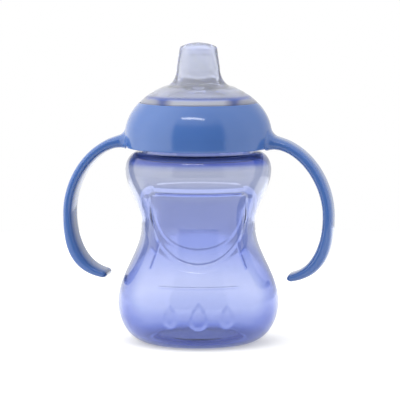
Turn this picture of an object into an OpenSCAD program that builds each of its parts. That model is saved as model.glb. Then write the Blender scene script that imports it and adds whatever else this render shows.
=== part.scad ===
// Two-handled trainer cup: hourglass bottle, screw cap with C-shaped handles, soft silicone spout.
// Z points up from the resting plane, the bottle's front faces -Y, the handles stand near the X axis.

/* [Bottle] */
// Radius of the flat ring that the bottle stands on
base_r = 23; // [20:0.5:26]
// Radius at the widest point of the belly
belly_r = 37.6; // [36:0.1:39]
// Height of the widest point of the belly
belly_z = 18.8; // [15:0.1:22]
// Radius at the waist
waist_r = 26.5; // [25:0.1:28]
// Height of the waist
waist_z = 55.4; // [52:0.1:58]
// Radius at the shoulder
shoulder_r = 34; // [32:0.1:36]
// Height of the widest point of the shoulder
shoulder_z = 80.8; // [78:0.1:82]
// Thickness of the bottle wall
wall = 1.4; // [1.2:0.1:1.6]
// Height of the hollow under the base
push_up = 2; // [1:0.1:3]

/* [Neck and thread] */
// Outer radius of the neck, under the thread
neck_r = 27.6; // [27.4:0.1:27.8]
// Height where the neck leaves the shoulder
neck_z = 89.3; // [88:0.1:89.6]
// Height of the neck's rim, where the spout's flange seats
rim_z = 107; // [106.5:0.1:107.2]
// Rise of the thread in one turn
pitch = 5; // [4.6:0.1:5.4]
// Turns of each thread
thread_turns = 1.25; // [1:0.05:1.35]
// Height of each thread ridge above its wall
thread_h = 1.5; // [1.2:0.1:1.5]

/* [Grip panels] */
// Width of each grip panel at its straight top edge
panel_w = 45.8; // [42:0.2:48]
// Height of the straight top edge
panel_top_z = 71.9; // [70:0.1:74]
// Height of the lowest point of the curved edge
panel_low_z = 39.4; // [37:0.1:42]
// Depth of the panel below the bottle's surface
panel_depth = 1.3; // [0.8:0.1:1.5]

/* [Cap] */
// Radius of the cap's dome at its equator
dome_r = 34.3; // [34:0.1:35]
// Height of the dome's equator
dome_z = 97; // [96:0.1:98]
// Height of the full dome above its equator, spout left out
dome_rise = 25.4; // [25:0.1:26]
// Height of the cap's lower rim
cap_low_z = 91.2; // [90.6:0.1:91.6]
// Radius of the opening that the spout comes through
opening_r = 27.3; // [26.8:0.1:27.5]
// Angle where the tightened cap stops, from the bottle's front
cap_angle = -9.5; // [-20:0.5:20]

/* [Handles] */
// Distance from the cup's axis to the middle of a handle at its widest point
handle_reach = 61.2; // [59:0.1:63]
// Height of a handle's widest point
handle_mid_z = 59.7; // [56:0.1:62]
// Width of a handle, front to back
handle_w = 16; // [12:0.5:17]
// Thickness of a handle's upper stretch
handle_t = 5; // [4.6:0.1:6]
// Height of the middle of a handle's tip
tip_z = 31.4; // [30:0.1:34]

/* [Spout] */
// Height of the spout's top
spout_z = 139.8; // [137:0.1:142]
// Width of the mouthpiece at its foot, side to side
spout_w = 20; // [18:0.2:22]
// Depth of the mouthpiece at its foot, front to back
spout_d = 14; // [13:0.2:16]
// Thickness of the mouthpiece's wall
spout_wall = 2.1; // [1.8:0.1:2.3]
// Diameter of the air vent's collar
vent_w = 8; // [6:0.2:9]

/* [Hidden] */
$fn = 96;

// Numbers of steps along curves and around sections
curve_steps = 12;
short_steps = 8;
corner_steps = 4;
search_steps = 60;
arm_steps = 36;
spout_sides = 56;
thread_sides = 48;
section_sides = 20;

// A step that is small beside any curve, and how far a cutting shape reaches past what it cuts
small = 0.01;
over = 1;

// Bottle
floor_z = push_up + wall;
foot_w = 2.5;
neck_wall = 1.9;

// Thread fit: the ridges interleave half a pitch apart and never meet
bore_r = 29.5;
ridge_root = 2.8;
ridge_tip = 1.2;
run_out = 25;
run_low = 0.1;
thread_z = 94.6;
low_turn = -90;

// Spout seat: the flange lies on the neck's rim and under the cap's ledge
flange_t = 1.8;
flange_r = 28.7;
flange_bore_r = 24;
plug_gap = 0.3;
plug_r = opening_r - plug_gap;
seat_r = 29;
ledge_gap = 0.1;
ledge_z = rim_z + flange_t + ledge_gap;
seat_z = 104;
skirt_t = 2;
ring_t = 1.4;
groove_z = 102;
rim_draw = 0.2;
bevel = 0.5;

// Mouthpiece
flare_z = 128;
taper = 0.143;
corner_r = 1.7;
crown = 1.3;
rim_t = 0.5;
well_depth = 3.2;
well_round = 1.8;
ceiling_z = 134.6;
ceiling_round = 1;
flare_x = [18, 8, 9.2];
flare_y = [14.4, 7.4, 8.6];
collar_r = 13.5;
collar_t = 1.5;
collar_z = 115;
dome_t = 2.5;

// Air vent: a round collar, its face sloping in to a shallow dimple
vent_reach = 16.6;
vent_sink = 0.8;
vent_rise = 0.5;
vent_rim = 0.8;
vent_slope = 1.2;

// Handles: the pulls set how far each curve's control points lie from its ends
handle_root = [33, 94];
upper_pull = [12.7, 17.2];
lower_pull = [3.6, 13.7, 2.8];
tip_in = 16.7;
root_flare = 1.3;
root_share = 0.3;
bend_bulge = 0.6;
tip_taper = 0.5;
taper_share = 0.4;
section_round = 0.65;

// Helpers
function mix(a, b, t) = a + (b - a) * t;
function wave(a, b, t) = mix(a, b, (1 - cos(180 * t)) / 2);
function power(v, e) = sign(v) * pow(abs(v), e);
function bezier(p, t) = pow(1 - t, 3) * p[0] + 3 * t * pow(1 - t, 2) * p[1]
                        + 3 * t * t * (1 - t) * p[2] + pow(t, 3) * p[3];
function middle(ring) = [for (k = [0:2]) mix(min([for (p = ring) p[k]]), max([for (p = ring) p[k]]), 0.5)];

// A closed skin over rings that all have the same number of points
module skin(rings) {
    n = len(rings[0]);
    last = len(rings) - 1;
    points = concat([for (ring = rings) each ring], [middle(rings[0]), middle(rings[last])]);
    first_fan = [for (i = [0:n - 1]) [len(points) - 2, (i + 1) % n, i]];
    last_fan = [for (i = [0:n - 1]) [len(points) - 1, last * n + i, last * n + (i + 1) % n]];
    sides = [for (r = [0:last - 1]) for (i = [0:n - 1])
        let (a = r * n + i, b = r * n + (i + 1) % n)
        each [[a, b, b + n], [a, b + n, a + n]]];
    polyhedron(points, concat(first_fan, sides, last_fan));
}

// Half outline of the bottle, drawn inwards by inset, from the foot to the neck's rim
function body_side(inset, low_z) = concat(
    [for (i = [0:curve_steps]) let (a = 90 * i / curve_steps)
        [mix(base_r, belly_r - inset, sin(a)), mix(low_z, belly_z, 1 - cos(a))]],
    [for (i = [1:curve_steps]) let (t = i / curve_steps)
        [wave(belly_r, waist_r, t) - inset, mix(belly_z, waist_z, t)]],
    [for (i = [1:curve_steps]) let (t = i / curve_steps)
        [wave(waist_r, shoulder_r, t) - inset, mix(waist_z, shoulder_z, t)]],
    [for (i = [1:curve_steps]) let (a = 90 * i / curve_steps)
        [mix(neck_r, shoulder_r, cos(a)) - inset, mix(shoulder_z, neck_z - inset, sin(a))]]);

module body_solid(inset, low_z, top_r, top_z) {
    rotate_extrude()
        polygon(concat([[0, low_z]], body_side(inset, low_z),
                       [[top_r, neck_z], [top_r, top_z], [0, top_z]]));
}

// Outline of a grip panel: a straight top edge and a half-round foot
module panel_outline(grow) {
    half_w = panel_w / 2 + grow;
    round_z = panel_low_z + panel_w / 2;
    intersection() {
        union() {
            translate([0, round_z])
                circle(r = half_w);
            translate([-half_w, round_z])
                square(2 * half_w);
        }
        translate([-2 * half_w, 0])
            square([4 * half_w, panel_top_z + grow]);
    }
}

// The layer of the body under both panels, between two insets
module panel_layer(outer, inner, grow) {
    difference() {
        intersection() {
            body_solid(outer, 0, waist_r, rim_z);
            rotate([90, 0, 0])
                linear_extrude(height = 3 * belly_r, center = true)
                    panel_outline(grow);
        }
        body_solid(inner, -over, waist_r - over, rim_z + over);
    }
}

module bottle() {
    color([0.62, 0.67, 0.88, 0.6])
    difference() {
        body_solid(0, 0, neck_r, rim_z);
        panel_layer(-over, panel_depth, 0);
        difference() {
            body_solid(wall, wall, neck_r - neck_wall, rim_z + over);
            panel_layer(wall / 2, wall + panel_depth, wall / 2);
            rotate_extrude()
                polygon([[0, 0], [base_r - foot_w + wall, 0], [base_r - foot_w + wall / 2, wall],
                         [base_r - foot_w - push_up + wall / 2, floor_z], [0, floor_z]]);
        }
        rotate_extrude()
            polygon([[0, -over], [base_r - foot_w + over, -over],
                     [base_r - foot_w - push_up, push_up], [0, push_up]]);
    }
}

// A helical ridge: its root lies on a wall of radius root_r and its tip stands h inwards or outwards
module ridge(root_r, h, start_z) {
    steps = ceil(thread_turns * thread_sides);
    rings = [for (i = [0:steps]) let (
            turn = 360 * thread_turns * i / steps,
            a = low_turn + turn,
            z = start_z + pitch * turn / 360,
            full = min(1, run_low + turn / run_out, run_low + (360 * thread_turns - turn) / run_out),
            tip_r = root_r + h * full)
        [for (p = [[root_r, -ridge_root], [root_r, ridge_root], [tip_r, ridge_tip], [tip_r, -ridge_tip]])
            [p[0] * cos(a), p[0] * sin(a), z + p[1] / 2]]];
    skin(h > 0 ? rings : [for (ring = rings) [for (i = [3:-1:0]) ring[i]]]);
}

module bottle_thread() {
    color([0.62, 0.67, 0.88, 0.6])
    ridge(neck_r / cos(180 / thread_sides), thread_h, thread_z + pitch / 2);
}

// Height of the dome's surface at a distance from the axis
function dome_top(r) = dome_z + dome_rise * sqrt(1 - pow(r / dome_r, 2));

// The mouthpiece's outer side in one direction: dome, flare, taper, rounded corner, crown, well
function flare_foot(f) = [for (i = [0:search_steps])
    let (a = 90 * i / search_steps, r = f[0] - f[1] * sin(a))
    if (flare_z - f[2] * cos(a) > dome_top(r)) r][0];
function mouth_side(half, f, top_z) = let (
        foot_r = flare_foot(f),
        foot_a = asin((f[0] - foot_r) / f[1]),
        corner_z = top_z - corner_r,
        corner_half = half - taper * (corner_z - flare_z),
        rim_half = corner_half - corner_r,
        well_z = spout_z - well_depth)
    concat(
        [for (i = [0:short_steps]) let (r = mix(plug_r, foot_r, i / short_steps)) [r, dome_top(r)]],
        [for (i = [1:short_steps]) let (a = mix(foot_a, 90, i / short_steps))
            [f[0] - f[1] * sin(a), flare_z - f[2] * cos(a)]],
        [for (i = [1:corner_steps]) let (t = i / corner_steps)
            [mix(f[0] - f[1], corner_half, t), mix(flare_z, corner_z, t)]],
        [for (i = [1:corner_steps]) let (a = 90 * i / corner_steps)
            [rim_half + corner_r * cos(a), corner_z + corner_r * sin(a)]],
        [for (i = [0:corner_steps]) let (a = 90 * i / corner_steps)
            [rim_half - rim_t - well_round * sin(a), mix(top_z - rim_t / 2, well_z, 1 - cos(a))]]);

// The inner side in one direction, from the flange's bore up to the ceiling
function inner_side(half, f) = let (top_half = half - taper * (ceiling_z - flare_z) - spout_wall)
    concat(
        [for (i = [0:corner_steps]) let (r = mix(flange_bore_r, collar_r, i / corner_steps))
            [r, dome_top(r) - dome_t]],
        [[collar_r, collar_z], [collar_r - collar_t, collar_z]],
        [for (i = [1:corner_steps]) let (a = 90 * i / corner_steps)
            [mix(collar_r - collar_t, half - spout_wall, sin(a)),
             mix(collar_z + collar_t, flare_z, 1 - cos(a))]],
        [[top_half, ceiling_z - ceiling_round], [top_half - ceiling_round, ceiling_z]]);

// One ring of the spout: its outline runs from the side value to the front value and back
function oval_ring(side, front) = [for (i = [0:spout_sides - 1]) let (a = 360 * i / spout_sides)
    [side[0] * cos(a), front[0] * sin(a), side[1] * pow(cos(a), 2) + front[1] * pow(sin(a), 2)]];

module spout() {
    outer_x = mouth_side(spout_w / 2, flare_x, spout_z - crown);
    outer_y = mouth_side(spout_d / 2, flare_y, spout_z);
    inner_x = inner_side(spout_w / 2, flare_x);
    inner_y = inner_side(spout_d / 2, flare_y);
    seat = [[flange_bore_r, rim_z], [flange_r, rim_z],
            [flange_r, rim_z + flange_t], [plug_r, rim_z + flange_t]];
    inner_count = len(inner_x) - 1;
    color([0.85, 0.86, 0.92, 0.55])
    skin(concat(
        [for (i = [inner_count:-1:0]) oval_ring(inner_x[i], inner_y[i])],
        [for (p = seat) oval_ring(p, p)],
        [for (i = [0:len(outer_x) - 1]) oval_ring(outer_x[i], outer_y[i])]));
}

// A low round collar on the front of the spout's dome, with a dimple in its middle
module air_vent() {
    vent_r = vent_w / 2;
    slope = atan((dome_top(vent_reach - small) - dome_top(vent_reach + small)) / (2 * small));
    color([0.85, 0.86, 0.92, 0.55])
    translate([0, -vent_reach, dome_top(vent_reach)])
        rotate([slope, 0, 0])
            rotate_extrude()
                polygon([[0, -vent_sink], [vent_r, -vent_sink], [vent_r, 0], [vent_r - vent_rise, vent_rise],
                         [vent_r - vent_rise - vent_rim, vent_rise],
                         [vent_r - vent_rise - vent_rim - vent_slope, 0], [0, 0]]);
}

module cap() {
    groove_in = bore_r + ring_t;
    groove_out = dome_r - skirt_t;
    edge_a = asin((dome_top(opening_r + bevel) - dome_z) / dome_rise);
    color([0.4, 0.55, 0.82])
    rotate_extrude()
        polygon(concat(
            [[dome_r - rim_draw - bevel, cap_low_z], [dome_r - rim_draw, cap_low_z + bevel]],
            [for (i = [0:curve_steps]) let (a = edge_a * i / curve_steps)
                [dome_r * cos(a), dome_z + dome_rise * sin(a)]],
            [[opening_r, dome_top(opening_r + bevel) - bevel], [opening_r, ledge_z], [seat_r, ledge_z],
             [seat_r, seat_z], [bore_r, seat_z - bevel], [bore_r, cap_low_z + 2 * bevel],
             [bore_r + bevel, cap_low_z + bevel], [groove_in, cap_low_z + bevel],
             [groove_in, groove_z - bevel], [groove_in + bevel, groove_z],
             [groove_out - bevel, groove_z], [groove_out, cap_low_z]]));
}

module cap_thread() {
    color([0.4, 0.55, 0.82])
    rotate([0, 0, cap_angle])
        ridge(bore_r, -thread_h, thread_z + pitch * cap_angle / 360);
}

// Middle line of a handle as two joined curves, in the plane of the handle
upper_arm = [handle_root, [handle_reach - upper_pull[0], handle_root[1]],
             [handle_reach, handle_mid_z + upper_pull[1]], [handle_reach, handle_mid_z]];
lower_arm = [[handle_reach, handle_mid_z], [handle_reach, handle_mid_z - lower_pull[1]],
             [handle_reach - lower_pull[0], tip_z + lower_pull[2]], [handle_reach - tip_in, tip_z]];
function arm(t) = t < 1 ? bezier(upper_arm, t) : bezier(lower_arm, t - 1);
function arm_heading(t) = let (d = arm(min(2, t + small)) - arm(max(0, t - small))) d / norm(d);

// Half the handle's thickness along its middle line: thick at the root and the lower bend, thin at the tip
function arm_half(t) = handle_t / 2
    + root_flare * pow(max(0, 1 - t / root_share), 2)
    + (t > 1 ? bend_bulge * pow(sin(180 * (t - 1)), 2) : 0)
    - tip_taper * pow(max(0, 1 - (2 - t) / taper_share), 2);

// A rounded-rectangular section across the handle's middle line
function arm_section(t, along, size) = let (
        heading = arm_heading(t),
        at = arm(t) + along * heading,
        across = [-heading[1], heading[0]])
    [for (i = [0:section_sides - 1]) let (
            a = 360 * i / section_sides,
            u = size * arm_half(t) * power(cos(a), section_round),
            v = size * handle_w / 2 * power(sin(a), section_round))
        [at[0] + u * across[0], v, at[1] + u * across[1]]];

module handle() {
    skin(concat(
        [for (i = [0:arm_steps]) arm_section(2 * i / arm_steps, 0, 1)],
        [for (i = [1:corner_steps]) let (a = 80 * i / corner_steps)
            arm_section(2, arm_half(2) * sin(a), cos(a))]));
}

module right_handle() {
    color([0.4, 0.55, 0.82])
    rotate([0, 0, cap_angle])
        handle();
}

module left_handle() {
    color([0.4, 0.55, 0.82])
    rotate([0, 0, cap_angle + 180])
        handle();
}

bottle();
bottle_thread();
spout();
air_vent();
cap();
cap_thread();
left_handle();
right_handle();
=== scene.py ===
"""The looks of a two-handled trainer cup: tinted bottle, glossy cap with handles, soft clear spout."""

import math

import bpy
import numpy as np
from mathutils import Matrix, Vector


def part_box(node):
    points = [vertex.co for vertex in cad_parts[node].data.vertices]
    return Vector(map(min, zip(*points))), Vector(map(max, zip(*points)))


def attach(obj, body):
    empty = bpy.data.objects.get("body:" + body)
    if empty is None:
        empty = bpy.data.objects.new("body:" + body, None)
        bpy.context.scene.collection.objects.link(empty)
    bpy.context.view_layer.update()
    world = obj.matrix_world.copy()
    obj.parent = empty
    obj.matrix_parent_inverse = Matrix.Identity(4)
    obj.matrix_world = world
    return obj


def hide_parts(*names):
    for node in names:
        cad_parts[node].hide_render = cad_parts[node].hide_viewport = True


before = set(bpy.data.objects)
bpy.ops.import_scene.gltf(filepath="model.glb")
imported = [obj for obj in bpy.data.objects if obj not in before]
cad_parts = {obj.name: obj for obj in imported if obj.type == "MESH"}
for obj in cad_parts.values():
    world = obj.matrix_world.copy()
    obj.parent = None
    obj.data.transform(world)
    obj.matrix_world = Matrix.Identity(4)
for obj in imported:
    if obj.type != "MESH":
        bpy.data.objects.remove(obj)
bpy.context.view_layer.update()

# ---- Sizes, in metres: the outer ones come from the CAD frame, the rest repeat the design's curves ----

MM = 0.001
bottle_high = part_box("bottle")[1]
cap_low, cap_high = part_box("cap")
spout_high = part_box("spout")[1]

BELLY_R = bottle_high.x
RIM_Z = bottle_high.z
BASE_R = 23 * MM
BELLY_Z = 18.8 * MM
WAIST_R = 26.5 * MM
WAIST_Z = 55.4 * MM
SHOULDER_R = 34 * MM
SHOULDER_Z = 80.8 * MM
NECK_R = 27.6 * MM
NECK_Z = 89.3 * MM
WALL = 1.4 * MM
PUSH_UP = 2 * MM

PANEL_HALF_W = 22.9 * MM
PANEL_TOP_Z = 71.9 * MM
PANEL_LOW_Z = 39.4 * MM
PANEL_DEPTH = 1.3 * MM
PANEL_BEVEL = 3.3 * MM
PANEL_CORNER = 3 * MM
PANEL_EDGE = 0.6 * MM
FRONT_STEP = 0.32
TOP_STEP = 0.6
BACK_STEP = 0.12
INNER_STEP = 0.1
TOP_LINE_D = 0.5 * MM
TOP_LINE_W = 0.42 * MM
DIMPLE_X = 20.8 * MM
DIMPLE_D = 0.45 * MM
DIMPLE_R = 1.1 * MM
FOOT_LINE_D = 0.16 * MM
FOOT_LINE_W = 0.35 * MM
# The crease's points are in millimetres.
CREASE_FORK = (19.4, 43.6)
CREASE_ENDS = ((18.4, 49), (21.2, 45.9), (21.9, 37.1))
CREASE_D = 0.24 * MM
CREASE_W = 0.33 * MM
FILL_Z = 29.6 * MM
FILL_LINE_D = 0.16 * MM
FILL_LINE_W = 0.4 * MM
DROPS = ((-13 * MM, 0.95), (0, 1.2), (13 * MM, 0.95))
DROP_Z = 17 * MM
DROP_HALF_H = 5.2 * MM
DROP_HALF_W = 3 * MM
DROP_PINCH = 0.62
DROP_RISE = 0.32 * MM

PITCH = 5 * MM
THREAD_TURNS = 1.25
THREAD_H = 1.5 * MM
THREAD_Z = 94.6 * MM
THREAD_HALF_W = 1.5 * MM
THREAD_FLANK = 0.9 * MM
THREAD_RUN_OUT = 25

DOME_R = cap_high.x
DOME_Z = 97 * MM
DOME_RISE = 25.4 * MM
CAP_LOW_Z = cap_low.z
CAP_WALL = 2 * MM
OPENING_R = 27.3 * MM
LEDGE_Z = RIM_Z + 1.9 * MM
BORE_R = 29.5 * MM
SEAT_R = 29 * MM
SEAT_Z = 104 * MM
GROOVE_Z = 102 * MM

SPOUT_Z = spout_high.z
FLANGE_R = spout_high.x
FLANGE_T = 1.8 * MM
PLUG_R = 27 * MM
MOUTH_HALF_W = 10 * MM
MOUTH_HALF_D = 7 * MM
VENT_Y = -16.6 * MM
VENT_R = 4 * MM
FLARE_Z = 128 * MM
TAPER = 0.143
FLARE_X = (18 * MM, 8 * MM, 9.2 * MM)
FLARE_Y = (14.4 * MM, 7.4 * MM, 8.6 * MM)
CROWN = 1.3 * MM
DOME_T = 2.5 * MM
SPOUT_WALL = 2.1 * MM
CEILING_Z = 134.6 * MM
CEILING_ROUND = 1 * MM
COLLAR_R = 13.5 * MM
COLLAR_T = 1.5 * MM
COLLAR_Z = 115 * MM
PLUG_BORE_R = 24 * MM

# The arm's control points are in millimetres, as the curve's function takes them.
HANDLE_ROOT = (33, 94)
HANDLE_REACH = 61.2
HANDLE_MID_Z = 59.7
TIP_Z = 31.4
UPPER_PULL = (12.7, 17.2)
LOWER_PULL = (3.6, 13.7, 2.8)
TIP_IN = 16.7

HANDLE_W = 16 * MM
HANDLE_T = 5 * MM
ROOT_FLARE = 1.3 * MM
ROOT_SHARE = 0.3
BEND_BULGE = 0.6 * MM
TIP_TAPER = 0.5 * MM
TAPER_SHARE = 0.4
ROOT_FILLET = 3 * MM
SECTION_ROUND = 0.65
CAP_ANGLE = math.atan2(*(sum(c[k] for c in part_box("right_handle")) for k in (1, 0)))

BOTTLE_AROUND = 384
CAP_AROUND = 256
HANDLE_AROUND = 72
SPOUT_AROUND = 224

# ---- Tints with painted shade and light: each is a linear colour; a depth of 1 is the deep shade, 0 the clear one ----

DEEP_TINT_AND_SHADE = (0.28, 0.365, 0.77)
# The bottle's own tint, made deeper or paler by height as painted shade and light: deep at the foot and in a
# narrow band near the neck, paler between.
TINT_AND_SHADE_HEIGHTS = np.array([0, 2.5, 5, 12, 22, 33, 44, 66, 76, 82, 86.5, 88.6, 89.8, 93]) * MM
TINT_AND_SHADE_DEPTHS = (1.0, 0.95, 0.7, 0.56, 0.29, 0.42, 0.6, 0.58, 0.22, 0.2, 1.0, 0.9, 0.2, 0.5)
# Painted shade deepens the tint at the sides of the foot; painted light pales it at the sides of the waist.
FOOT_SIDE_SHADE = 0.35
WAIST_SIDE_LIGHT = 0.3
# Painted shade along the front panel's top line and its creases.
LINE_SHADE_DEPTH = 0.9
# The silicone's blue ring inside the cap's edge, its two blue patches and its bluer rim are painted: the blue
# cap seen through the silicone, painted in as colour.
RIM_PAINTED_CAP_BLUE = (0.12, 0.20, 0.66)
RING_R = 24.2 * MM
RING_W = 0.8 * MM
RING_DEPTH = 0.85
PATCH_X = 16.5 * MM
PATCH_W = 2.5 * MM
PATCH_DEPTH = 0.75
RIM_DEPTH = 0.08


# ---- Curves ----

def mix(a, b, t):
    return a + (b - a) * t


def smooth(t):
    """0 below 0, 1 above 1, and an even S between them."""
    t = np.clip(t, 0, 1)
    return t * t * (3 - 2 * t)


def wave(a, b, t):
    """From a to b along half a cosine wave."""
    return mix(a, b, (1 - np.cos(np.pi * t)) / 2)


def steps(low, high, pitch):
    """Evenly spaced values from low to high, about pitch apart."""
    return np.linspace(low, high, max(2, int(round(abs(high - low) / pitch)) + 1))


def bell(offset, width):
    """1 at offset 0, falling smoothly to nothing within about two widths."""
    return np.exp(-(offset / width) ** 2)


def rounded(corners, pitch=0.8 * MM):
    """A path of (r, z) points through corners given as (r, z, rounding), with short even steps."""
    path = [np.array(corners[0][:2])]
    for before, corner, after in zip(corners, corners[1:], corners[2:]):
        p = np.array(corner[:2])
        into = np.array(before[:2]) - p
        out = np.array(after[:2]) - p
        cut = min(corner[2], np.linalg.norm(into) / 2, np.linalg.norm(out) / 2)
        a = p + into / np.linalg.norm(into) * cut
        b = p + out / np.linalg.norm(out) * cut
        for t in np.linspace(0, 1, 6):
            path.append((1 - t) ** 2 * a + 2 * t * (1 - t) * p + t * t * b)
    path.append(np.array(corners[-1][:2]))
    dense = [path[0]]
    for a, b in zip(path, path[1:]):
        count = max(1, int(math.ceil(np.linalg.norm(b - a) / pitch)))
        dense += [mix(a, b, i / count) for i in range(1, count + 1)]
    keep = [dense[0]] + [b for a, b in zip(dense, dense[1:]) if np.linalg.norm(b - a) > 1e-6]
    return np.array(keep)


# ---- Meshes ----

def skin(name, rows):
    """A closed mesh over rows of points, each row a ring of the same length."""
    rows = np.array(rows)
    count, around = rows.shape[:2]
    points = np.vstack([rows.reshape(-1, 3), rows[0].mean(0), rows[-1].mean(0)])
    i = np.arange(around)
    j = (i + 1) % around
    starts = (np.arange(count - 1) * around)[:, None]
    quads = np.stack([starts + i, starts + j, starts + around + j, starts + around + i], -1).reshape(-1, 4)
    last = (count - 1) * around
    fans = [[count * around, b, a] for a, b in zip(i, j)]
    fans += [[count * around + 1, last + a, last + b] for a, b in zip(i, j)]
    mesh = bpy.data.meshes.new(name)
    mesh.from_pydata(points.tolist(), [], quads.tolist() + np.array(fans).tolist())
    mesh.validate()
    mesh.polygons.foreach_set("use_smooth", [True] * len(mesh.polygons))
    piece = bpy.data.objects.new(name, mesh)
    bpy.context.collection.objects.link(piece)
    return piece


def turned(outline, around):
    """Rings of points made by turning an outline of (r, z) points about the cup's axis."""
    angle = np.arange(around) * 2 * np.pi / around
    outline = np.array(outline)
    r, z = outline[:, :1], outline[:, 1:]
    return np.stack([r * np.cos(angle), r * np.sin(angle), z + 0 * angle], -1)


def push_out(rows, amount):
    """Moves points away from the cup's axis by an amount for each point."""
    radius = np.hypot(rows[..., 0], rows[..., 1])
    scale = 1 + amount / np.maximum(radius, 1e-9)
    return np.stack([rows[..., 0] * scale, rows[..., 1] * scale, rows[..., 2]], -1)


# ---- Bottle ----

def body_curve(inset, low_z, pitch):
    """The hourglass from the foot to the shoulder's inner end, drawn inwards by inset."""
    quarter = np.linspace(0, np.pi / 2, 28)
    belly = [(mix(BASE_R, BELLY_R - inset, math.sin(a)), mix(low_z, BELLY_Z, 1 - math.cos(a)))
             for a in quarter]
    up = steps(BELLY_Z, WAIST_Z, pitch)[1:]
    waist = [(wave(BELLY_R, WAIST_R, (z - BELLY_Z) / (WAIST_Z - BELLY_Z)) - inset, z) for z in up]
    up = steps(WAIST_Z, SHOULDER_Z, pitch)[1:]
    chest = [(wave(WAIST_R, SHOULDER_R, (z - WAIST_Z) / (SHOULDER_Z - WAIST_Z)) - inset, z) for z in up]
    shoulder = [(mix(NECK_R, SHOULDER_R, math.cos(a)) - inset, mix(SHOULDER_Z, NECK_Z - inset, math.sin(a)))
                for a in quarter[1:]]
    return np.array(belly + waist + chest + shoulder)


def panel_distance(x, z):
    """Distance outside a grip panel's outline, seen from the front: round foot, straight rounded top."""
    round_z = PANEL_LOW_Z + PANEL_HALF_W
    side = np.where(z < round_z, np.hypot(x, z - round_z), np.abs(x)) - PANEL_HALF_W
    top = z - PANEL_TOP_Z
    outside = np.hypot(np.maximum(side + PANEL_CORNER, 0), np.maximum(top + PANEL_CORNER, 0)) - PANEL_CORNER
    at_corner = (side > -PANEL_CORNER) & (top > -PANEL_CORNER)
    return np.where(at_corner, outside, np.maximum(side, top))


def panel_dip(distance, step):
    """How far a panel lies below the surface: a crisp step at its edge, then a flat bevel outside it."""
    crisp = 1 - smooth(distance / PANEL_EDGE)
    bevel = 1 - np.clip(distance / PANEL_BEVEL, 0, 1)
    return PANEL_DEPTH * (step * crisp + (1 - step) * bevel)


def drop_relief(x, z):
    """Three plain raised water drops in a row, low on the bottle's front."""
    relief = np.zeros_like(x)
    for centre, size in DROPS:
        up = (z - DROP_Z) / (DROP_HALF_H * size)
        pinch = np.clip(1 - DROP_PINCH * up, 0, None)
        half = DROP_HALF_W * size * np.sqrt(np.clip(1 - up * up, 0, None)) * pinch
        relief = np.maximum(relief, DROP_RISE * smooth((half - np.abs(x - centre)) / (0.8 * MM)))
    return relief


def panel_lines(x, z):
    """The front panel's fine sunken lines: its top edge with a dimple at each end, its foot, its creases."""
    along_top = smooth((PANEL_HALF_W - 1 * MM - np.abs(x)) / (1 * MM))
    top = TOP_LINE_D * bell(z - PANEL_TOP_Z, TOP_LINE_W) * along_top
    dimple = np.hypot(np.abs(x) - DIMPLE_X, (z - PANEL_TOP_Z + 0.3 * MM) * 1.6) / DIMPLE_R
    top = np.maximum(top, DIMPLE_D * smooth(1.4 - dimple))
    below = smooth((PANEL_TOP_Z - 8 * MM - z) / (6 * MM))
    foot = FOOT_LINE_D * bell(panel_distance(x, z), FOOT_LINE_W) * below
    lines = np.maximum(top, foot)
    return np.maximum(lines, CREASE_D * bell(crease_distance(x, z), CREASE_W))


def crease_distance(x, z):
    """Distance from each point to the forked crease beside the panel's foot."""
    return np.min([to_segment(np.abs(x), z, CREASE_FORK, end) for end in CREASE_ENDS], axis=0)


def to_segment(x, z, a, b):
    """Distance from each point to the segment between a and b, given in millimetres."""
    (ax, az), (bx, bz) = np.array(a) * MM, np.array(b) * MM
    dx, dz = bx - ax, bz - az
    t = np.clip(((x - ax) * dx + (z - az) * dz) / (dx * dx + dz * dz), 0, 1)
    return np.hypot(x - ax - t * dx, z - az - t * dz)


def thread_relief(rows, root_z, first_turn):
    """Height of a screw thread at each point: a ridge that starts at root_z and climbs with the angle."""
    turn = (np.degrees(np.arctan2(rows[..., 1], rows[..., 0])) - first_turn) % 360 / 360
    relief = np.zeros(rows.shape[:2])
    for whole in range(int(math.ceil(THREAD_TURNS))):
        along = turn + whole
        off = np.abs(rows[..., 2] - root_z - PITCH * along)
        ends = np.minimum(along, THREAD_TURNS - along) * 360 / THREAD_RUN_OUT
        ridge = smooth((THREAD_HALF_W - off) / THREAD_FLANK) * np.clip(ends, 0, 1)
        relief = np.maximum(relief, THREAD_H * ridge)
    return relief


def store(piece, name, values):
    """Keeps one number for each of a mesh's points, for its material to read."""
    piece.data.attributes.new(name, "FLOAT", "POINT").data.foreach_set("value", values)


def paint_tint_and_shade(piece):
    """Painted shade and light in the bottle's tint: deeper or paler by height and towards the sides, and
    painted shade along the front panel's lines.
    """
    x, y, z = np.array([v.co for v in piece.data.vertices]).T
    depth = np.full_like(z, TINT_AND_SHADE_DEPTHS[0])
    for low, high, a, b in zip(TINT_AND_SHADE_HEIGHTS, TINT_AND_SHADE_HEIGHTS[1:], TINT_AND_SHADE_DEPTHS, TINT_AND_SHADE_DEPTHS[1:]):
        depth += (b - a) * smooth((z - low) / (high - low))
    # Painted shade towards the sides at the foot, painted light towards the sides at the waist.
    side = smooth((abs(x) / np.maximum(np.hypot(x, y), MM) - 0.75) / 0.25)
    waist = smooth((z - 40 * MM) / (8 * MM)) * smooth((78 * MM - z) / (8 * MM))
    foot = smooth((42 * MM - z) / (12 * MM))
    depth += side * (FOOT_SIDE_SHADE * foot - WAIST_SIDE_LIGHT * waist)
    depth = np.clip(depth, 0, 1)
    # Painted shade along the front panel's top line and creases.
    across = smooth((20.5 * MM - abs(x)) / (1.5 * MM))
    line = across * bell(z - PANEL_TOP_Z + 0.3 * MM, 0.55 * MM)
    line = np.maximum(line, bell(crease_distance(x, z), 0.5 * MM))
    depth += (1 - depth) * LINE_SHADE_DEPTH * line * (y < 0)
    store(piece, "tint_and_painted_light_depth", depth)


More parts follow.
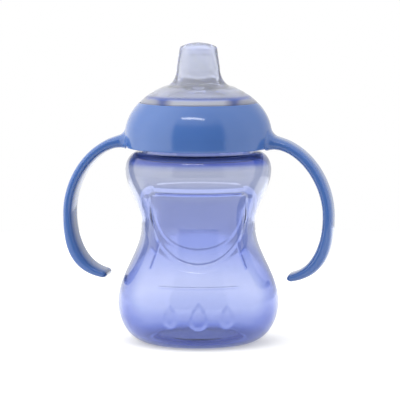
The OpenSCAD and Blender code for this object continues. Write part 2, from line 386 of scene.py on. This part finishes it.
def make_bottle():
    """The shell, outside and inside in one skin, with its relief and thread pushed out of turned rings."""
    bore_r = NECK_R - 1.9 * MM
    foot = rounded([
        (0, PUSH_UP, 0), (BASE_R - 4.5 * MM, PUSH_UP, 1.5 * MM), (BASE_R - 2.5 * MM, 0, 0.8 * MM),
        (BASE_R - 0.8 * MM, 0, 0)])
    body = body_curve(0, 0, 0.36 * MM)
    neck = rounded([
        (NECK_R, NECK_Z + 0.1 * MM, 0), (NECK_R, RIM_Z, 0.6 * MM), (bore_r, RIM_Z, 0.6 * MM),
        (bore_r, NECK_Z, 0)], 0.3 * MM)
    inside = body_curve(WALL, WALL, 0.7 * MM)[::-1]
    floor = rounded([
        (BASE_R, WALL, 0), (BASE_R - 1.8 * MM, WALL, 0.6 * MM),
        (BASE_R - 3.8 * MM, PUSH_UP + WALL, 1.5 * MM), (0, PUSH_UP + WALL, 0)], 1 * MM)

    outer = turned(np.vstack([foot[1:], body, neck]), BOTTLE_AROUND)
    x, y, z = outer[..., 0], outer[..., 1], outer[..., 2]
    on_body = (z > 6 * MM) & (z < NECK_Z)
    front = smooth(-y / (4 * MM))
    top_edge = smooth((z - PANEL_TOP_Z + 3 * MM) / (3 * MM))
    step = front * mix(FRONT_STEP, TOP_STEP, top_edge) + (1 - front) * BACK_STEP
    dip = panel_dip(panel_distance(x, z), step)
    fill_line = FILL_LINE_D * bell(z - FILL_Z, FILL_LINE_W) * smooth((21 * MM - np.abs(x)) / (4 * MM))
    relief = on_body * (front * (drop_relief(x, z) - fill_line - panel_lines(x, z)) - dip)
    on_neck = (z > NECK_Z) * (np.hypot(x, y) > NECK_R - 0.1 * MM)
    relief = relief + on_neck * thread_relief(outer, THREAD_Z + PITCH / 2, -90)
    outer = push_out(outer, relief)

    inner = turned(np.vstack([inside, floor[1:-1]]), BOTTLE_AROUND)
    x, z = inner[..., 0], inner[..., 2]
    on_body = (z > 6 * MM) & (z < NECK_Z - 3 * MM)
    inner = push_out(inner, on_body * -panel_dip(panel_distance(x, z), INNER_STEP))

    bottle = skin("bottle_shell", np.vstack([outer, inner]))
    paint_tint_and_shade(bottle)
    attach(bottle, "bottle")
    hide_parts("bottle", "bottle_thread")
    return bottle


# ---- Cap and handles ----

def dome_top(r):
    """Height of the cap's dome at a radius; the silicone carries the same dome on."""
    return DOME_Z + DOME_RISE * np.sqrt(1 - (r / DOME_R) ** 2)


def make_cap():
    """The domed ring: lip, dome, opening, ledge, threaded bore and the groove round it."""
    rim_out = DOME_R - 0.2 * MM
    edge = math.asin((dome_top(OPENING_R + 0.5 * MM) - DOME_Z) / DOME_RISE)
    dome = [(DOME_R * math.cos(a), DOME_Z + DOME_RISE * math.sin(a)) for a in np.linspace(0, edge, 60)]
    lip_in = rim_out - CAP_WALL
    inner_ring_r = BORE_R + 1.4 * MM
    inner_ring_z = CAP_LOW_Z + 0.6 * MM
    lip = rounded([
        (lip_in, CAP_LOW_Z, 0), (rim_out - 0.05 * MM, CAP_LOW_Z, 0.7 * MM), (DOME_R, DOME_Z, 0)], 0.4 * MM)
    inside = rounded([
        tuple(dome[-1]) + (0,), (OPENING_R, dome_top(OPENING_R) - 0.2 * MM, 0.5 * MM),
        (OPENING_R, LEDGE_Z, 0.2 * MM), (SEAT_R, LEDGE_Z, 0.2 * MM), (SEAT_R, SEAT_Z, 0.4 * MM),
        (BORE_R, SEAT_Z - 0.6 * MM, 0.4 * MM), (BORE_R, inner_ring_z, 0.5 * MM),
        (inner_ring_r, inner_ring_z, 0.5 * MM), (inner_ring_r, GROOVE_Z, 0.5 * MM),
        (rim_out - 2.6 * MM, GROOVE_Z, 0.5 * MM), (lip_in, CAP_LOW_Z, 0)], 0.3 * MM)
    rows = turned(np.vstack([lip[:-1], dome, inside[1:]]), CAP_AROUND)
    radius, z = np.hypot(rows[..., 0], rows[..., 1]), rows[..., 2]
    on_bore = (np.abs(radius - BORE_R) < 0.2 * MM) & (z < SEAT_Z)
    first_turn = -90 + math.degrees(CAP_ANGLE)
    ridge = thread_relief(rows, THREAD_Z + PITCH * CAP_ANGLE / (2 * math.pi), first_turn)
    rows = push_out(rows, on_bore * -ridge)
    cap = skin("screw_cap", rows)
    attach(cap, "cap")
    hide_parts("cap", "cap_thread")
    return cap


def bezier(p, t):
    """Points of a cubic curve through four control points given in millimetres."""
    p = [np.array(q) * MM for q in p]
    t = np.asarray(t)[:, None]
    return (1 - t) ** 3 * p[0] + 3 * t * (1 - t) ** 2 * p[1] + 3 * t * t * (1 - t) * p[2] + t ** 3 * p[3]


def arm_path():
    """Middle line of a handle in its own plane, as (out, up) points, with the share of the way along."""
    upper = [HANDLE_ROOT, (HANDLE_REACH - UPPER_PULL[0], HANDLE_ROOT[1]),
             (HANDLE_REACH, HANDLE_MID_Z + UPPER_PULL[1]), (HANDLE_REACH, HANDLE_MID_Z)]
    lower = [(HANDLE_REACH, HANDLE_MID_Z), (HANDLE_REACH, HANDLE_MID_Z - LOWER_PULL[1]),
             (HANDLE_REACH - LOWER_PULL[0], TIP_Z + LOWER_PULL[2]), (HANDLE_REACH - TIP_IN, TIP_Z)]
    share = np.linspace(0, 1, 90)
    return np.vstack([bezier(upper, share), bezier(lower, share[1:])]), np.concatenate([share, 1 + share[1:]])


def arm_half(share):
    """Half the arm's thickness: flared at the root, fuller in the lower bend, tapered at the tip."""
    root = ROOT_FLARE * np.clip(1 - share / ROOT_SHARE, 0, 1) ** 2
    bulge = BEND_BULGE * np.sin(np.pi * np.clip(share - 1, 0, 1)) ** 2
    taper = TIP_TAPER * np.clip(1 - (2 - share) / TAPER_SHARE, 0, 1) ** 2
    return HANDLE_T / 2 + root + bulge - taper


def handle_rows():
    """Rings along a handle, from the dome's surface, where it flares into the cap, to its round tip."""
    angle = np.arange(HANDLE_AROUND) * 2 * np.pi / HANDLE_AROUND
    across_u = np.sign(np.cos(angle)) * np.abs(np.cos(angle)) ** SECTION_ROUND
    across_v = np.sign(np.sin(angle)) * np.abs(np.sin(angle)) ** SECTION_ROUND
    path, share = arm_path()
    root_path = path[:60]
    heading = np.gradient(path, axis=0)
    heading /= np.linalg.norm(heading, axis=1)[:, None]
    half = arm_half(share)
    rows = []

    def ring(at, head, thick, wide, grow=0.0):
        top_side = 0.5 + 0.5 * np.cos(angle)
        u = (thick + grow * top_side) * across_u
        v = (wide + grow * 0.8) * across_v
        return np.stack([at[0] - u * head[1], v, at[1] + u * head[0]], -1)

    near = np.array([-0.3, 0, 0.12, 0.35, 0.7, 1.15, 1.7, 2.4, 3.2, 4.1, 5, 6, 7.2]) * MM
    for d in near:
        at = np.array([DOME_R + d, np.interp(DOME_R + d, root_path[:, 0], root_path[:, 1])])
        k = np.searchsorted(root_path[:, 0], DOME_R + d)
        reach = np.clip(ROOT_FILLET - max(d, 0), 0, ROOT_FILLET)
        grow = ROOT_FILLET - math.sqrt(ROOT_FILLET ** 2 - reach ** 2)
        pts = ring(at, heading[k], half[k], HANDLE_W / 2, grow)
        up = np.clip((pts[:, 2] - DOME_Z) / DOME_RISE, 0, 0.95)
        dome_r = DOME_R * np.sqrt(1 - up ** 2)
        on_dome = np.sqrt(np.maximum(dome_r ** 2 - pts[:, 1] ** 2, 0)) + d
        pts[:, 0] = mix(on_dome, pts[:, 0], smooth((d - 2 * MM) / (5.5 * MM)))
        rows.append(pts)
    start = np.searchsorted(root_path[:, 0], DOME_R + near[-1] + 0.6 * MM)
    for k in range(start, len(path)):
        rows.append(ring(path[k], heading[k], half[k], HANDLE_W / 2))
    for a in np.radians(np.linspace(8, 84, 10)):
        at = path[-1] + heading[-1] * half[-1] * math.sin(a)
        shrink = math.cos(a)
        rows.append(ring(at, heading[-1], half[-1] * shrink, HANDLE_W / 2 - half[-1] * (1 - shrink)))
    return np.array(rows)


def make_handle(name, turn):
    """One handle, turned about the cup's axis to its side of the cap."""
    rows = handle_rows()
    c, s = math.cos(turn), math.sin(turn)
    x, y = rows[..., 0] * c - rows[..., 1] * s, rows[..., 0] * s + rows[..., 1] * c
    handle = skin(name + "_grip", np.stack([x, y, rows[..., 2]], -1))
    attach(handle, "cap")
    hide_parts(name)
    return handle


# ---- Spout ----

def flare_foot(flare):
    """Where the dome's curve meets a flare: the flare's angle there."""
    for a in np.linspace(0, math.pi / 2, 600):
        if FLARE_Z - flare[2] * math.cos(a) > dome_top(flare[0] - flare[1] * math.sin(a)):
            return a
    return math.pi / 2


def mouth_side(half, flare, top_z):
    """The mouthpiece's outer side in one direction, from the dome's edge to the middle of the well."""
    corner_r, rim_t, well_r = 1.7 * MM, 0.5 * MM, 1.8 * MM
    foot_a = flare_foot(flare)
    foot_r = flare[0] - flare[1] * math.sin(foot_a)
    corner_z = top_z - corner_r
    corner_half = half - TAPER * (corner_z - FLARE_Z)
    rim_half = corner_half - corner_r
    well_z = SPOUT_Z - 3.2 * MM
    side = [(r, dome_top(r)) for r in np.linspace(PLUG_R, foot_r, 34)]
    side += [(flare[0] - flare[1] * math.sin(a), FLARE_Z - flare[2] * math.cos(a))
             for a in np.linspace(foot_a, math.pi / 2, 28)[1:]]
    side += [(mix(flare[0] - flare[1], corner_half, t), mix(FLARE_Z, corner_z, t))
             for t in np.linspace(0, 1, 16)[1:]]
    side += [(rim_half + corner_r * math.cos(a), corner_z + corner_r * math.sin(a))
             for a in np.linspace(0, math.pi / 2, 10)[1:]]
    side += [(rim_half - rim_t - well_r * math.sin(a), mix(top_z - rim_t / 2, well_z, 1 - math.cos(a)))
             for a in np.linspace(0, math.pi / 2, 10)]
    last = side[-1][0]
    side += [(last * t, well_z) for t in np.linspace(1, 0.02, 12)[1:]]
    return side


def inner_side(half, flare):
    """The spout's inner side in one direction, from the middle of the ceiling down to the flange's bore."""
    foot_half = half - SPOUT_WALL
    top_half = half - TAPER * (CEILING_Z - FLARE_Z) - SPOUT_WALL
    collar_in = COLLAR_R - COLLAR_T
    round_r, round_z = top_half - CEILING_ROUND, CEILING_Z - CEILING_ROUND
    side = [(r, dome_top(r) - DOME_T) for r in np.linspace(PLUG_BORE_R, COLLAR_R, 12)]
    side += [(COLLAR_R, COLLAR_Z + 0.4 * MM), (COLLAR_R - 0.2 * MM, COLLAR_Z),
             (collar_in + 0.2 * MM, COLLAR_Z), (collar_in, COLLAR_Z + 0.4 * MM)]
    side += [(mix(collar_in, foot_half, math.sin(a)), mix(COLLAR_Z + 2 * MM, FLARE_Z, 1 - math.cos(a)))
             for a in np.linspace(0.25, math.pi / 2, 16)]
    side += [(mix(foot_half, top_half, t), mix(FLARE_Z, round_z, t)) for t in np.linspace(0, 1, 8)[1:]]
    side += [(round_r + CEILING_ROUND * math.cos(a), round_z + CEILING_ROUND * math.sin(a))
             for a in np.linspace(0, math.pi / 2, 6)[1:]]
    last = side[-1][0]
    side += [(last * t, CEILING_Z) for t in np.linspace(1, 0.05, 6)[1:]]
    return side[::-1]


def oval_rows(side, front):
    """Rings whose outline runs from the side curve, along X, to the front curve, along Y."""
    angle = np.arange(SPOUT_AROUND) * 2 * np.pi / SPOUT_AROUND
    side, front = np.array(side), np.array(front)
    c2 = np.cos(angle) ** 2
    return np.stack([side[:, :1] * np.cos(angle), front[:, :1] * np.sin(angle),
                     side[:, 1:] * c2 + front[:, 1:] * (1 - c2)], -1)


def paint_rim_light(piece):
    """Painted light on the silicone: a bluer ring inside the cap's edge, a bluer rim and two blue patches
    paint the blue cap seen through it, and a milkier zone beyond the ring paints a lighter bowl.
    """
    x, y, z = np.array([v.co for v in piece.data.vertices]).T
    r = np.hypot(x, y)
    beyond = smooth((r - RING_R) / RING_W)
    patch = bell(abs(x) - PATCH_X, PATCH_W)
    depth = RIM_DEPTH * smooth((r - 14 * MM) / (4 * MM)) + RING_DEPTH * bell(r - RING_R, RING_W)
    depth += beyond * (RIM_DEPTH + PATCH_DEPTH * patch)
    on_dome = smooth((121.5 * MM - z) / (1.5 * MM))
    store(piece, "tint_and_painted_light_depth", np.minimum(depth, 1) * on_dome)
    # Painted light: milkier beyond the ring, most in the middle, for a lighter bowl.
    middle = smooth((14 * MM - abs(x)) / (3 * MM))
    store(piece, "milky_painted_light", beyond * (0.45 + 0.4 * middle) * on_dome)


def make_spout():
    """The silicone in one skin: inside, clamped flange, and outside with its vent and slit."""
    under_z = RIM_Z + 0.05 * MM
    flange = rounded([
        (PLUG_BORE_R, dome_top(PLUG_BORE_R) - DOME_T, 0), (PLUG_BORE_R, under_z, 0.4 * MM),
        (FLANGE_R, under_z, 0.4 * MM), (FLANGE_R, RIM_Z + FLANGE_T, 0.4 * MM),
        (PLUG_R, RIM_Z + FLANGE_T, 0.3 * MM), (PLUG_R, dome_top(PLUG_R), 0)], 0.5 * MM)
    inner = oval_rows(inner_side(MOUTH_HALF_W, FLARE_X), inner_side(MOUTH_HALF_D, FLARE_Y))
    outer = oval_rows(mouth_side(MOUTH_HALF_W, FLARE_X, SPOUT_Z - CROWN),
                      mouth_side(MOUTH_HALF_D, FLARE_Y, SPOUT_Z))
    x, y, z = outer[..., 0], outer[..., 1], outer[..., 2]

    off = np.hypot(x, (y - VENT_Y) * 1.35) / VENT_R
    vent = 0.6 * MM * bell(off - 0.82, 0.2) - 0.5 * MM * smooth((0.55 - off) / 0.25)
    on_dome = (y < 0) & (z < FLARE_Z)
    slit = 0.5 * MM * bell(y, 0.16 * MM) * smooth((3.4 * MM - np.abs(x)) / (0.5 * MM))
    in_well = z < SPOUT_Z - 2.6 * MM
    deep_in = np.hypot(x, y) < 5 * MM
    outer[..., 2] += on_dome * vent - (in_well & deep_in & (z > FLARE_Z)) * slit
    spout = skin("silicone_spout", np.vstack([inner, turned(flange[1:-1], SPOUT_AROUND), outer]))
    paint_rim_light(spout)
    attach(spout, "spout")
    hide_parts("spout", "air_vent")
    return spout


# ---- Materials ----

PLASTIC_IOR = 1.49
SILICONE_IOR = 1.41
CLEAR_SHARE = 0.8
MILKY_SHARE = 0.5
FLOOR_GLOW = 0.4
WHITE = (1, 1, 1, 1)

# The blend node has its sockets in this order.
FACTOR, FLOAT_A, FLOAT_B, COLOUR_A, COLOUR_B, COLOUR_OUT = 0, 2, 3, 6, 7, 2


def new_material(name):
    """A fresh material, with its nodes, links and shader at hand."""
    material = bpy.data.materials.new(name)
    material.use_nodes = True
    nodes = material.node_tree.nodes
    return material, nodes, material.node_tree.links, nodes["Principled BSDF"]


def add_grain(nodes, links, shader, scale, strength, rough_low, rough_high):
    """Fine moulded grain in the surface and a slow drift in its gloss."""
    place = nodes.new("ShaderNodeTexCoord")
    grain = nodes.new("ShaderNodeTexNoise")
    grain.inputs["Scale"].default_value = scale
    grain.inputs["Detail"].default_value = 4
    bump = nodes.new("ShaderNodeBump")
    bump.inputs["Strength"].default_value = strength
    bump.inputs["Distance"].default_value = 0.2 * MM
    drift = nodes.new("ShaderNodeTexNoise")
    drift.inputs["Scale"].default_value = 45
    spread = nodes.new("ShaderNodeMapRange")
    spread.inputs["To Min"].default_value = rough_low
    spread.inputs["To Max"].default_value = rough_high
    links.new(place.outputs["Object"], grain.inputs["Vector"])
    links.new(place.outputs["Object"], drift.inputs["Vector"])
    links.new(grain.outputs["Fac"], bump.inputs["Height"])
    links.new(bump.outputs["Normal"], shader.inputs["Normal"])
    links.new(drift.outputs["Fac"], spread.inputs["Value"])
    links.new(spread.outputs["Result"], shader.inputs["Roughness"])
    return drift


def add_tint(nodes, links, drift, dark, light):
    """Two close shades that drift into each other, as in moulded plastic."""
    blend = nodes.new("ShaderNodeMix")
    blend.data_type = "RGBA"
    blend.inputs[COLOUR_A].default_value = dark + (1,)
    blend.inputs[COLOUR_B].default_value = light + (1,)
    links.new(drift.outputs["Fac"], blend.inputs[FACTOR])
    return blend.outputs[COLOUR_OUT]


def add_absorption(nodes, links, colour, density):
    """Colour that deepens with the thickness of the wall."""
    volume = nodes.new("ShaderNodeVolumeAbsorption")
    volume.inputs["Color"].default_value = colour + (1,)
    volume.inputs["Density"].default_value = density
    links.new(volume.outputs["Volume"], nodes["Material Output"].inputs["Volume"])


def stored(nodes, name):
    """The number that a piece's mesh keeps under this name."""
    node = nodes.new("ShaderNodeAttribute")
    node.attribute_name = name
    return node.outputs["Fac"]


def add_depth(nodes, links, clear, deep):
    """Blends towards the deep colour as far as the piece's own tint_and_painted_light_depth says: painted
    shade and light.
    """
    blend = nodes.new("ShaderNodeMix")
    blend.data_type = "RGBA"
    blend.inputs[COLOUR_B].default_value = deep + (1,)
    links.new(stored(nodes, "tint_and_painted_light_depth"), blend.inputs[FACTOR])
    links.new(clear, blend.inputs[COLOUR_A])
    return blend.outputs[COLOUR_OUT]


def cap_material():
    """Opaque, glossy, and a little soft in its shadows."""
    material, nodes, links, shader = new_material("glossy_blue_plastic")
    shader.inputs["IOR"].default_value = PLASTIC_IOR
    shader.inputs["Coat Weight"].default_value = 0.25
    shader.inputs["Coat Roughness"].default_value = 0.08
    shader.inputs["Subsurface Weight"].default_value = 0.15
    shader.inputs["Subsurface Radius"].default_value = (0.2, 0.4, 1)
    shader.inputs["Subsurface Scale"].default_value = 1.5 * MM
    drift = add_grain(nodes, links, shader, scale=1400, strength=0.04, rough_low=0.07, rough_high=0.13)
    tint = add_tint(nodes, links, drift, dark=(0.058, 0.143, 0.41), light=(0.064, 0.154, 0.43))
    links.new(tint, shader.inputs["Base Color"])
    return material


def bottle_material():
    """Clear plastic with its own tint, made deeper or paler at each point by painted shade and light, and a
    light absorption.
    """
    material, nodes, links, shader = new_material("tinted_clear_plastic")
    shader.inputs["Transmission Weight"].default_value = 1
    shader.inputs["IOR"].default_value = PLASTIC_IOR
    drift = add_grain(nodes, links, shader, scale=900, strength=0.02, rough_low=0.03, rough_high=0.07)
    clear = add_tint(nodes, links, drift, dark=(0.985, 0.975, 0.94), light=(0.995, 0.985, 0.95))
    # Painted shade and light: the stored depth blends the clear colour towards the deep one.
    links.new(add_depth(nodes, links, clear, DEEP_TINT_AND_SHADE), shader.inputs["Base Color"])
    add_absorption(nodes, links, colour=(0.06, 0.22, 0.68), density=130)
    return material


def silicone_material():
    """Soft and clear; milkier where the mesh paints light, and bluer where it paints the cap seen through it.
    """
    material, nodes, links, shader = new_material("soft_clear_silicone")
    shader.inputs["Subsurface Weight"].default_value = 0.3
    shader.inputs["Subsurface Radius"].default_value = (1, 1, 1.2)
    shader.inputs["Subsurface Scale"].default_value = 3 * MM
    shader.inputs["IOR"].default_value = SILICONE_IOR
    drift = add_grain(nodes, links, shader, scale=1100, strength=0.03, rough_low=0.05, rough_high=0.09)
    clear = add_tint(nodes, links, drift, dark=(0.88, 0.905, 0.98), light=(0.91, 0.93, 0.99))
    # Painted blue: the cap seen through the silicone, as deep as the stored depth says.
    links.new(add_depth(nodes, links, clear, RIM_PAINTED_CAP_BLUE), shader.inputs["Base Color"])
    milky = nodes.new("ShaderNodeMapRange")
    milky.inputs["To Min"].default_value = CLEAR_SHARE
    milky.inputs["To Max"].default_value = MILKY_SHARE
    links.new(stored(nodes, "milky_painted_light"), milky.inputs["Value"])
    links.new(milky.outputs["Result"], shader.inputs["Transmission Weight"])
    add_absorption(nodes, links, colour=(0.30, 0.42, 0.92), density=45)
    return material


def floor_material():
    """Pale paper that glows a little for the rays that mirror it or look through the cup at it."""
    material, nodes, links, shader = new_material("pale_paper")
    drift = add_grain(nodes, links, shader, scale=400, strength=0.05, rough_low=0.85, rough_high=0.95)
    tint = add_tint(nodes, links, drift, dark=(0.78, 0.78, 0.785), light=(0.80, 0.80, 0.80))
    links.new(tint, shader.inputs["Base Color"])
    shader.inputs["Emission Color"].default_value = WHITE
    glow = nodes.new("ShaderNodeMapRange")
    glow.inputs["To Min"].default_value = FLOOR_GLOW
    glow.inputs["To Max"].default_value = 0
    links.new(nodes.new("ShaderNodeLightPath").outputs["Is Diffuse Ray"], glow.inputs["Value"])
    links.new(glow.outputs["Result"], shader.inputs["Emission Strength"])
    return material


# ---- Stage, lights and camera ----

TENT_OPENING = 0.12
TENT_LEFT = 2.1
TENT_RIGHT = 1.3
TENT_BACK = 0.6
TENT_THROUGH = 0.87
VIEW_WIDTH = 186.8 * MM
CAMERA_BACK = 1250 * MM
CAMERA_UP = 198 * MM
AIM = Vector((0.75 * MM, 0, 66.4 * MM))
LIGHT_AIM = Vector((0, 0, 0.08))
FLOOR_RINGS = (0.02, 0.1, 0.25, 0.45)
FLOOR_AROUND = 96


def make_floor():
    """A round sheet of paper under the cup."""
    rings = turned([(r, 0) for r in FLOOR_RINGS], FLOOR_AROUND)
    mesh = bpy.data.meshes.new("floor")
    faces = []
    for ring in range(len(FLOOR_RINGS) - 1):
        near, far = ring * FLOOR_AROUND, (ring + 1) * FLOOR_AROUND
        for i in range(FLOOR_AROUND):
            j = (i + 1) % FLOOR_AROUND
            faces.append([near + i, far + i, far + j, near + j])
    faces.append(list(range(FLOOR_AROUND)))
    mesh.from_pydata(rings.reshape(-1, 3).tolist(), [], faces)
    floor = bpy.data.objects.new("floor", mesh)
    bpy.context.collection.objects.link(floor)
    floor.data.materials.append(floor_material())


def make_light():
    """A long strip high in front, for the highlight on the cap; clear pieces don't show it from behind."""
    name, place, size, radiance = "front_strip", Vector((-0.13, -0.61, 0.945)), (0.55, 0.07), 11
    data = bpy.data.lights.new(name, "AREA")
    data.shape = "RECTANGLE"
    data.size, data.size_y = size
    data.energy = radiance * math.pi * size[0] * size[1]
    light = bpy.data.objects.new(name, data)
    light.location = place
    light.rotation_euler = (LIGHT_AIM - place).to_track_quat("-Z", "Y").to_euler()
    light.visible_transmission = False
    light.visible_camera = False
    bpy.context.collection.objects.link(light)


def choose(nodes, links, switch, on, off):
    """The value on where the switch is 1, and the output off where it is 0."""
    node = nodes.new("ShaderNodeMix")
    links.new(switch, node.inputs[FACTOR])
    links.new(off, node.inputs[FLOAT_A])
    node.inputs[FLOAT_B].default_value = on
    return node.outputs["Result"]


def make_world():
    """A white tent, open towards the front, where its reflections and shading get little light."""
    world = bpy.data.worlds.new("studio")
    bpy.context.scene.world = world
    world.use_nodes = True
    nodes, links = world.node_tree.nodes, world.node_tree.links
    nodes["Background"].inputs["Color"].default_value = WHITE

    def ramp(value, low, high, start, end):
        node = nodes.new("ShaderNodeMapRange")
        node.interpolation_type = "SMOOTHSTEP"
        for name, number in zip(("From Min", "From Max", "To Min", "To Max"), (low, high, start, end)):
            node.inputs[name].default_value = number
        links.new(value, node.inputs["Value"])
        return node.outputs["Result"]

    def join(operation, a, b):
        node = nodes.new("ShaderNodeMath")
        node.operation = operation
        links.new(a, node.inputs[0])
        links.new(b, node.inputs[1])
        return node.outputs["Value"]

    place = nodes.new("ShaderNodeTexCoord")
    split = nodes.new("ShaderNodeSeparateXYZ")
    links.new(place.outputs["Generated"], split.inputs["Vector"])
    level_way = nodes.new("ShaderNodeVectorMath")
    level_way.operation = "MULTIPLY"
    level_way.inputs[1].default_value = (1, 1, 0)
    links.new(place.outputs["Generated"], level_way.inputs[0])
    way = nodes.new("ShaderNodeVectorMath")
    way.operation = "NORMALIZE"
    links.new(level_way.outputs["Vector"], way.inputs[0])
    turn = nodes.new("ShaderNodeSeparateXYZ")
    links.new(way.outputs["Vector"], turn.inputs["Vector"])
    beside = ramp(turn.outputs["Y"], -0.80, -0.68, TENT_OPENING, 1)
    above = ramp(split.outputs["Z"], 0.35, 0.85, 0, 0.9)
    front = join("MAXIMUM", beside, above)
    left = ramp(split.outputs["X"], -0.8, 0.5, TENT_LEFT, TENT_RIGHT)
    back = ramp(split.outputs["Y"], 0.0, 0.6, 1, TENT_BACK)
    path = nodes.new("ShaderNodeLightPath")
    lit = join("MULTIPLY", front, join("MULTIPLY", left, back))
    through = choose(nodes, links, path.outputs["Is Transmission Ray"], TENT_THROUGH, lit)
    level = choose(nodes, links, path.outputs["Is Camera Ray"], 1, through)
    links.new(level, nodes["Background"].inputs["Strength"])


def make_camera():
    """From the front, a little above, through a long lens."""
    camera = bpy.data.objects.new("camera", bpy.data.cameras.new("camera"))
    bpy.context.collection.objects.link(camera)
    camera.location = (0, -CAMERA_BACK, CAMERA_UP)
    toward = AIM - camera.location
    camera.rotation_euler = toward.to_track_quat("-Z", "Y").to_euler()
    camera.data.lens = camera.data.sensor_width * toward.length / VIEW_WIDTH
    camera.data.clip_end = 50
    bpy.context.scene.camera = camera


def paint(piece, material):
    """Gives a piece this material and no other."""
    piece.data.materials.clear()
    piece.data.materials.append(material)


blue = cap_material()
paint(make_bottle(), bottle_material())
paint(make_cap(), blue)
paint(make_handle("right_handle", CAP_ANGLE), blue)
paint(make_handle("left_handle", CAP_ANGLE + math.pi), blue)
paint(make_spout(), silicone_material())
make_floor()
make_world()
make_light()
make_camera()
bpy.context.scene.view_settings.view_transform = "Standard"
